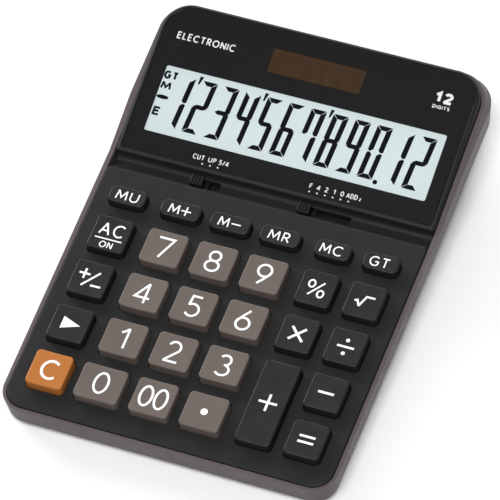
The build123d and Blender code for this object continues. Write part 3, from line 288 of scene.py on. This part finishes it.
# Centre lines of the strokes of each sign, one high, with the sign's width
GLYPHS = {
    "0": (0.62, [arc(0.31, 0.5, 0.31, 0.5, 0, 360)]),
    "1": (0.34, [[(0.0, 0.76), (0.12, 0.83), (0.30, 1.0), (0.30, 0.0)]]),
    "2": (0.62, [arc(0.29, 0.72, 0.27, 0.28, 160, -32) + [(0.0, 0.0), (0.62, 0.0)]]),
    "3": (0.60, [arc(0.28, 0.76, 0.25, 0.24, 150, -90), arc(0.27, 0.265, 0.31, 0.265, 85, -145)]),
    "4": (0.68, [[(0.68, 0.27), (0.0, 0.27), (0.48, 1.0), (0.48, 0.0)]]),
    "5": (0.60, [[(0.55, 1.0), (0.12, 1.0), (0.08, 0.57)] + arc(0.28, 0.31, 0.31, 0.31, 125, -145)]),
    "6": (0.64, [arc(0.32, 0.30, 0.31, 0.30, 0, 360),
                 [(0.48, 1.0), (0.25, 0.72), (0.08, 0.47), (0.01, 0.30)]]),
    "7": (0.72, [[(0.0, 1.0), (0.72, 1.0), (0.26, 0.0)]]),
    "8": (0.62, [arc(0.31, 0.76, 0.25, 0.24, 0, 360), arc(0.31, 0.265, 0.31, 0.265, 0, 360)]),
    "9": (0.64, [arc(0.32, 0.70, 0.31, 0.30, 0, 360),
                 [(0.63, 0.70), (0.56, 0.53), (0.39, 0.28), (0.16, 0.0)]]),
    "A": (0.76, [[(0, 0), (0.38, 1), (0.76, 0)], [(0.14, 0.34), (0.62, 0.34)]]),
    "C": (0.76, [arc(0.46, 0.5, 0.46, 0.5, 48, 312)]),
    "D": (0.68, [[(0, 0), (0, 1)] + arc(0.24, 0.5, 0.44, 0.5, 90, -90) + [(0, 0)]]),
    "E": (0.50, [[(0.5, 1), (0, 1), (0, 0), (0.5, 0)], [(0, 0.52), (0.44, 0.52)]]),
    "F": (0.48, [[(0.48, 1), (0, 1), (0, 0)], [(0, 0.52), (0.42, 0.52)]]),
    "G": (0.84, [arc(0.46, 0.5, 0.46, 0.5, 48, 318) + [(0.82, 0.46), (0.50, 0.46)]]),
    "I": (0.0, [[(0, 0), (0, 1)]]),
    "L": (0.46, [[(0, 1), (0, 0), (0.46, 0)]]),
    "M": (0.90, [[(0, 0), (0.09, 1), (0.45, 0.22), (0.81, 1), (0.90, 0)]]),
    "N": (0.68, [[(0, 0), (0, 1), (0.68, 0), (0.68, 1)]]),
    "O": (0.92, [arc(0.46, 0.5, 0.46, 0.5, 0, 360)]),
    "P": (0.50, [[(0, 0), (0, 1)] + arc(0.24, 0.74, 0.26, 0.26, 90, -90) + [(0, 0.48)]]),
    "R": (0.56, [[(0, 0), (0, 1)] + arc(0.24, 0.74, 0.26, 0.26, 90, -90) + [(0, 0.48)],
                 [(0.22, 0.48), (0.56, 0)]]),
    "S": (0.56, [arc(0.28, 0.76, 0.25, 0.24, 40, 270) + arc(0.28, 0.26, 0.28, 0.26, 80, -140)]),
    "T": (0.68, [[(0, 1), (0.68, 1)], [(0.34, 1), (0.34, 0)]]),
    "U": (0.68, [[(0, 1)] + arc(0.34, 0.34, 0.34, 0.34, 180, 360) + [(0.68, 1)]]),
    "/": (0.42, [[(0, 0), (0.42, 1)]]),
    "+": (0.74, [[(0, 0.5), (0.74, 0.5)], [(0.37, 0.13), (0.37, 0.87)]]),
    "-": (0.66, [[(0, 0.5), (0.66, 0.5)]]),
    " ": (0.18, []),
}
# A corner whose two sides nearly cancel is bevelled, below this share of half the weight
MITRE_LIMIT = 0.45


def disc(x, y, radius, sides=16):
    """Outline of a round dot."""
    angles = [2 * math.pi * i / sides for i in range(sides)]
    return [(x + radius * math.cos(a), y + radius * math.sin(a)) for a in angles]


def stroke(points, weight):
    """Convex pieces of a flat-ended stroke along a line, with mitred or bevelled corners."""
    line = [Vector(p) for p in points]
    sides = []
    for start, end in zip(line, line[1:]):
        along = (end - start).normalized()
        sides.append(Vector((-along.y, along.x)) * weight / 2)
    pieces = [[a + n, a - n, b - n, b + n] for a, b, n in zip(line, line[1:], sides)]
    corners = list(zip(line[1:], sides, sides[1:]))
    if (line[0] - line[-1]).length < 0.001:
        corners.append((line[0], sides[-1], sides[0]))
    for corner, before, after in corners:
        outward = -1 if before.cross(after) > 0 else 1
        middle = (before + after) * outward / 2
        tip = [] if middle.length < MITRE_LIMIT * weight / 2 else [
            corner + middle * (weight / 2 / middle.length) ** 2]
        pieces.append([corner, corner + before * outward, *tip, corner + after * outward])
    return pieces


def text(words, x, y, height, weight, width=None, gap=0.2):
    """Pieces of a line of lettering whose centre is at x, y, fitted to a width if one is given."""
    tall = height - weight
    advance = [GLYPHS[letter][0] for letter in words]
    natural = sum(advance) * tall + (len(words) - 1) * (gap * tall + weight)
    squeeze = 1.0 if width is None else (width - weight) / natural
    pieces = []
    cursor = x - natural * squeeze / 2
    for letter, step in zip(words, advance):
        for line in GLYPHS[letter][1]:
            placed = [(cursor + px * tall * squeeze, y + (py - 0.5) * tall) for px, py in line]
            pieces += stroke(placed, weight)
        cursor += (step * tall + gap * tall + weight) * squeeze
    return pieces


def printed(name, pieces, surface, body, material, level=0.02, thickness=0.03):
    """A thin printed layer: the union of its pieces, laid on a surface given as a function."""
    points = []
    faces = []
    for piece in pieces:
        outline = [Vector(p) for p in piece]
        area = sum(a.cross(b) for a, b in zip(outline, outline[1:] + outline[:1]))
        if abs(area) > 0.00001:
            faces.append(list(range(len(points), len(points) + len(outline))))
            points += outline if area > 0 else outline[::-1]
    corners, _, triangles, _, _, owners = delaunay_2d_cdt(points, [], faces, 0, 0.0005)
    work = bmesh.new()
    made = [work.verts.new((p.x, p.y, 0)) for p in corners]
    for triangle, owner in zip(triangles, owners):
        if owner:
            work.faces.new([made[i] for i in triangle])
    stray = [vertex for vertex in made if not vertex.link_faces]
    bmesh.ops.delete(work, geom=stray, context="VERTS")
    bmesh.ops.dissolve_limit(work, angle_limit=0.02, verts=work.verts, edges=work.edges)
    bmesh.ops.triangulate(work, faces=work.faces)
    bmesh.ops.recalc_face_normals(work, faces=work.faces)
    if sum(face.normal.z for face in work.faces) > 0:
        bmesh.ops.reverse_faces(work, faces=work.faces)
    top = bmesh.ops.extrude_face_region(work, geom=work.faces[:])
    raised = [item for item in top["geom"] if isinstance(item, bmesh.types.BMVert)]
    bmesh.ops.translate(work, verts=raised, vec=(0, 0, thickness))
    for vertex in work.verts:
        vertex.co = surface(vertex.co.x, vertex.co.y, level + vertex.co.z)
    bmesh.ops.recalc_face_normals(work, faces=work.faces)
    mesh = bpy.data.meshes.new(name)
    work.to_mesh(mesh)
    work.free()
    mesh.materials.append(material)
    piece = bpy.data.objects.new(name, mesh)
    bpy.context.scene.collection.objects.link(piece)
    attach(piece, body)
    return piece


# ------------------------------------------------------------ key legends
KEY_HEIGHT = 3.6
DISH_RADIUS = 120.0
DISH_DEPTH = 0.4
TALL_KEY = "key_plus"


def key_surface(node):
    """Function from a place on the key's top, about its centre, to the frame."""
    corners = [DECK.inverted() @ vertex.co for vertex in frame["nodes"][node].data.vertices]
    middle_x = (min(c.x for c in corners) + max(c.x for c in corners)) / 2
    middle_y = (min(c.y for c in corners) + max(c.y for c in corners)) / 2

    def surface(x, y, level):
        if node == TALL_KEY:
            sag = KEY_HEIGHT - DISH_DEPTH / 2 + DISH_RADIUS - math.sqrt(DISH_RADIUS**2 - x**2)
        else:
            sag = KEY_HEIGHT - DISH_DEPTH + DISH_RADIUS - math.sqrt(DISH_RADIUS**2 - x**2 - y**2)
        return DECK @ Vector((middle_x + x, middle_y + y, sag + level))

    return surface


def minus_sign(x, y, length, weight):
    """Level bar centred at x, y."""
    return stroke([(x - length / 2, y), (x + length / 2, y)], weight)


def plus_sign(x, y, length, weight):
    """Level bar with an upright of the same length."""
    upright = stroke([(x, y - length / 2), (x, y + length / 2)], weight)
    return minus_sign(x, y, length, weight) + upright


def small(words, x, width):
    """Lettering of the low keys in the top row."""
    return text(words, x, SMALL_RISE, SMALL_HEIGHT, SMALL_WEIGHT, width)


def ring(x, y):
    """One of the two rings of the percent sign."""
    return stroke(arc(x, y, 1.15, 1.45, 0, 360), PERCENT_WEIGHT)


DIGIT_HEIGHT = 9.1
DIGIT_WEIGHT = 0.86
SMALL_HEIGHT = 4.2
SMALL_WEIGHT = 0.52
SMALL_RISE = -0.1
BAR_WEIGHT = 0.9
PERCENT_WEIGHT = 0.68

# Pieces of each legend, in millimetres about the centre of its key
LEGENDS = {f"key_{digit}": text(digit, 0, 0, DIGIT_HEIGHT, DIGIT_WEIGHT) for digit in "0123456789"}
LEGENDS.update({
    "key_0": text("0", 0.1, 0.2, DIGIT_HEIGHT, DIGIT_WEIGHT),
    "key_00": text("00", 0, 0, 8.9, 0.9, 11.0, 0.06),
    "key_1": text("1", 0.0, 0.1, DIGIT_HEIGHT, DIGIT_WEIGHT),
    "key_point": [disc(0, 0, 1.35, 24)],
    "key_clear": text("C", 0, -0.1, 8.3, 1.02),
    "key_mu": small("MU", 0, 8.8),
    "key_m_plus": small("M", -2.4, 4.2) + plus_sign(2.2, SMALL_RISE, 3.8, SMALL_WEIGHT),
    "key_m_minus": small("M", -2.4, 4.2) + minus_sign(2.3, SMALL_RISE, 3.6, SMALL_WEIGHT),
    "key_mr": small("MR", -0.3, 8.3),
    "key_mc": small("MC", -0.7, 8.5),
    "key_gt": small("GT", -0.5, 7.5),
    "key_ac_on": text("AC", 0, 1.75, 5.4, 0.65, 9.4) + text("ON", 0, -4.8, 2.8, 0.42, 5.1)
    + minus_sign(0, -2.4, 10.4, SMALL_WEIGHT),
    "key_sign": plus_sign(-2.75, 1.7, 4.2, 0.8)
    + stroke([(-2.5, -3.4), (2.9, 3.2)], 0.75) + minus_sign(2.9, -2.6, 4.0, 0.8),
    "key_backspace": [[(-3.1, -2.55), (4.0, 0.0), (-3.1, 2.55)]],
    "key_percent": ring(-2.3, 1.6) + ring(2.0, -1.9) + stroke([(-2.5, -3.1), (2.3, 2.9)], PERCENT_WEIGHT),
    "key_sqrt": stroke([(-3.7, -0.6), (-2.7, -0.1), (-1.5, -2.4), (0.2, 1.9), (3.4, 1.9)], 0.75),
    "key_times": stroke([(-2.7, -2.7), (2.7, 2.7)], 0.95) + stroke([(-2.7, 2.7), (2.7, -2.7)], 0.95),
    "key_divide": minus_sign(0, 0, 6.4, 0.85) + [disc(0, 2.75, 0.75, 18), disc(0, -2.75, 0.75, 18)],
    "key_minus": minus_sign(0, 0, 6.0, 0.95),
    "key_equals": minus_sign(0, 1.2, 6.0, BAR_WEIGHT) + minus_sign(0, -1.2, 6.0, BAR_WEIGHT),
    "key_plus": plus_sign(0, 0, 7.0, BAR_WEIGHT),
})

for node, pieces in LEGENDS.items():
    printed("legend_" + node, pieces, key_surface(node), node, WHITE_INK)


# ------------------------------------------------------------ print on the display panel
# Print below the window's face lies this far left and back, per millimetre of depth, of the
# place on the face where it is seen
SET_BACK = Vector((-0.309, 0.303))


def panel_surface(depth):
    """Function from a place seen on the window's face to the frame, at a depth below the face."""
    shift = SET_BACK * depth
    return lambda x, y, level: PANEL @ Vector((x + shift.x, y + shift.y, level - depth))


PRINT_DEPTH = 1.5
LABEL_ROW = along_panel(117.95)
DOT_ROW = along_panel(115.8)
SWITCH_PITCH = 3.05
ROUNDING_X = -28.8
DECIMAL_X = 13.2
LABEL_HEIGHT = 2.0
LABEL_WEIGHT = 0.34
DOT_RADIUS = 0.33
COUNT_X = 49.8


def labels():
    """Generic function labels, and dots that mark the stops of the two switches."""
    pieces = text("ELECTRONIC", -43.4, along_panel(160.6), 2.9, 0.5, 23.0)
    pieces += text("12", COUNT_X, along_panel(161.7), 4.4, 1.1, 7.2, 0.1)
    pieces += text("DIGITS", COUNT_X, along_panel(158.0), 1.45, 0.3, 6.6)
    pieces += text("CUT", -30.9, LABEL_ROW, LABEL_HEIGHT, LABEL_WEIGHT, 4.6)
    pieces += text("UP", -25.6, LABEL_ROW, LABEL_HEIGHT, LABEL_WEIGHT, 3.1)
    pieces += text("5/4", -21.0, LABEL_ROW, LABEL_HEIGHT, LABEL_WEIGHT, 4.0)
    for step, letter in enumerate("F4210"):
        pieces += text(letter, DECIMAL_X + step * SWITCH_PITCH, LABEL_ROW, LABEL_HEIGHT, LABEL_WEIGHT)
    pieces += text("ADD", 29.2, LABEL_ROW, LABEL_HEIGHT, LABEL_WEIGHT, 4.4)
    pieces += text("2", 32.4, LABEL_ROW - 0.45, 1.1, 0.22)
    for first, steps in ((ROUNDING_X, 3), (DECIMAL_X, 6)):
        pieces += [disc(first + step * SWITCH_PITCH, DOT_ROW, DOT_RADIUS) for step in range(steps)]
    return pieces


label_surface = panel_surface(PRINT_DEPTH)
printed("panel_labels", labels(), label_surface, "case", WHITE_INK, thickness=0.02)

# ------------------------------------------------------------ display contents
LCD_DEPTH = 1.9
DIGIT_PITCH = 8.61
DIGIT_WIDTH = 5.95
SEGMENT_HEIGHT = 21.1
UPRIGHT_WEIGHT = 2.0
LEVEL_WEIGHT = 1.75
SEGMENT_GAP = 0.1
SHOULDER = 0.35
SLANT = math.tan(math.radians(4.0))
FIRST_DIGIT_X = -49.4
DIGIT_BASE = along_panel(125.65)
DISPLAY_DIGITS = "123456789012"
MARKED_PLACES = (1, 4, 7)
MARK_LEAD = 1.7
POINT_X = 35.5
POINT_RADIUS = 0.9
# Lit segments of each digit: a at the top, then clockwise to f, and g in the middle
SEGMENTS = {
    "0": "abcdef", "1": "bc", "2": "abged", "3": "abgcd", "4": "fgbc", "5": "afgcd",
    "6": "afgedc", "7": "fabc", "8": "abcdefg", "9": "abcfgd",
}


def segment(name, wide, tall):
    """Outline of one segment: flat outside, pointed or bevelled where it meets its neighbours."""
    half = tall / 2
    near = SEGMENT_GAP + 0.1
    across = UPRIGHT_WEIGHT
    up = LEVEL_WEIGHT
    if name in "ad":
        outside, inside = (tall, tall - up) if name == "a" else (0, up)
        bevel = near + across * 0.85
        return [(near, outside), (wide - near, outside), (wide - bevel, inside), (bevel, inside)]
    if name == "g":
        tip = SEGMENT_GAP + across * 0.7
        return [(near, half), (tip, half + up / 2), (wide - tip, half + up / 2),
                (wide - near, half), (wide - tip, half - up / 2), (tip, half - up / 2)]
    outer, inner = (0, across) if name in "ef" else (wide, wide - across)
    middle = (outer + inner) / 2
    if name in "bf":
        low, high = half + SEGMENT_GAP, tall - near
        return [(outer, low + SHOULDER), (outer, high), (inner, high - up),
                (inner, low + up / 2), (middle, low)]
    low, high = near, half - SEGMENT_GAP
    return [(outer, high - SHOULDER), (outer, low), (inner, low + up),
            (inner, high - up / 2), (middle, high)]


def slanted(points, x):
    """Points of an upright digit, leaned over and placed in the display."""
    return [(x + px + (py * SLANT), DIGIT_BASE + py) for px, py in points]


def display_pieces():
    """Twelve digits with their thousands marks and decimal point."""
    pieces = []
    for place, digit in enumerate(DISPLAY_DIGITS):
        left = FIRST_DIGIT_X + place * DIGIT_PITCH
        for name in SEGMENTS[digit]:
            pieces.append(slanted(segment(name, DIGIT_WIDTH, SEGMENT_HEIGHT), left))
    mark_top = SEGMENT_HEIGHT + 1.3
    mark = [(0.25, SEGMENT_HEIGHT - 2.0), (0.85, SEGMENT_HEIGHT - 1.9), (1.5, mark_top), (0.1, mark_top)]
    for place in MARKED_PLACES:
        pieces.append(slanted(mark, FIRST_DIGIT_X + place * DIGIT_PITCH - MARK_LEAD))
    pieces.append(disc(POINT_X, along_panel(125.2), POINT_RADIUS, 20))
    return pieces


def indicator_pieces():
    """Small signs down the left side of the display."""
    pieces = text("GT", -51.7, along_panel(145.0), 3.3, 0.85, 5.6)
    pieces += text("M", -52.3, along_panel(140.9), 3.3, 0.8, 4.1)
    pieces += text("E", -52.5, along_panel(130.8), 3.5, 0.85, 2.9)
    lens_y = along_panel(136.4)
    lens = [(-52.1 + px, lens_y + py) for px, py in arc(0, 0, 2.4, 0.8, 0, 348)]
    pieces.append(lens)
    return pieces


display_surface = panel_surface(LCD_DEPTH)
printed("display_digits", display_pieces(), display_surface, "case", LCD_INK)
printed("display_indicators", indicator_pieces(), display_surface, "case", LCD_INK)


# ------------------------------------------------------------ stage, lights and camera
# Azimuth, elevation and roll in degrees, focal length in millimetres, distance in metres
CAMERA_ANGLES = (29.675, 55.035, -10.313)
CAMERA_LENS = 364.9
CAMERA_DISTANCE = 1.831


def make_floor():
    """A wide pale floor under the feet."""
    work = bmesh.new()
    bmesh.ops.create_circle(work, cap_ends=True, radius=6.0, segments=96)
    mesh = bpy.data.meshes.new("studio_floor")
    work.to_mesh(mesh)
    work.free()
    floor = bpy.data.objects.new("studio_floor", mesh)
    bpy.context.scene.collection.objects.link(floor)
    material, tree, shader = start_material("studio_floor_paper")
    paper = add_tint(tree, (0.87, 0.87, 0.87), add_noise(tree, 30, 3, 0.995, 1.005))
    tree.links.new(paper, shader.inputs["Base Color"])
    shader.inputs["Roughness"].default_value = 0.9
    shader.inputs["Specular IOR Level"].default_value = 0.1
    mesh.materials.append(material)


def area_light(name, azimuth, elevation, distance, size, power):
    """A soft box that looks at the object. Azimuth 0 is in front, 90 at the right."""
    a, e = math.radians(azimuth), math.radians(elevation)
    place = Vector((math.sin(a) * math.cos(e), -math.cos(a) * math.cos(e), math.sin(e))) * distance
    light = bpy.data.lights.new(name, "AREA")
    light.shape = "RECTANGLE"
    light.size, light.size_y = size
    light.energy = power
    lamp = bpy.data.objects.new(name, light)
    lamp.location = place
    lamp.rotation_euler = (-place).to_track_quat("-Z", "Y").to_euler()
    bpy.context.scene.collection.objects.link(lamp)


def make_camera():
    """The camera of the main view: from the front right, well above, rolled a little."""
    azimuth, elevation, roll = map(math.radians, CAMERA_ANGLES)
    target = Vector((1.12, FRONT + 86.64, 16.0)) * MM
    direction = Vector((math.sin(azimuth) * math.cos(elevation), -math.cos(azimuth) * math.cos(elevation),
                        math.sin(elevation)))
    camera = bpy.data.objects.new("camera", bpy.data.cameras.new("camera"))
    camera.data.lens = CAMERA_LENS
    camera.data.sensor_width = 36.0
    camera.data.clip_end = 20.0
    look = (-direction).to_track_quat("-Z", "Y").to_matrix()
    camera.matrix_world = Matrix.Translation(target + direction * CAMERA_DISTANCE) @ (
        look @ Matrix.Rotation(roll, 3, "Z")).to_4x4()
    bpy.context.scene.collection.objects.link(camera)
    bpy.context.scene.camera = camera


def make_world():
    """Even, faintly cool light from all round."""
    world = bpy.data.worlds.new("studio")
    bpy.context.scene.world = world
    world.use_nodes = True
    background = world.node_tree.nodes["Background"]
    background.inputs["Color"].default_value = (0.95, 0.97, 1.0, 1)
    background.inputs["Strength"].default_value = 0.3


bpy.context.scene.view_settings.view_transform = "Standard"
make_floor()
make_world()
area_light("top_softbox", azimuth=18, elevation=67, distance=2.0, size=(1.1, 1.1), power=36)
area_light("left_back_strip", azimuth=-118, elevation=22, distance=1.5, size=(0.8, 0.25), power=14)
area_light("back_strip", azimuth=-165, elevation=22, distance=1.5, size=(0.9, 0.16), power=8)
make_camera()
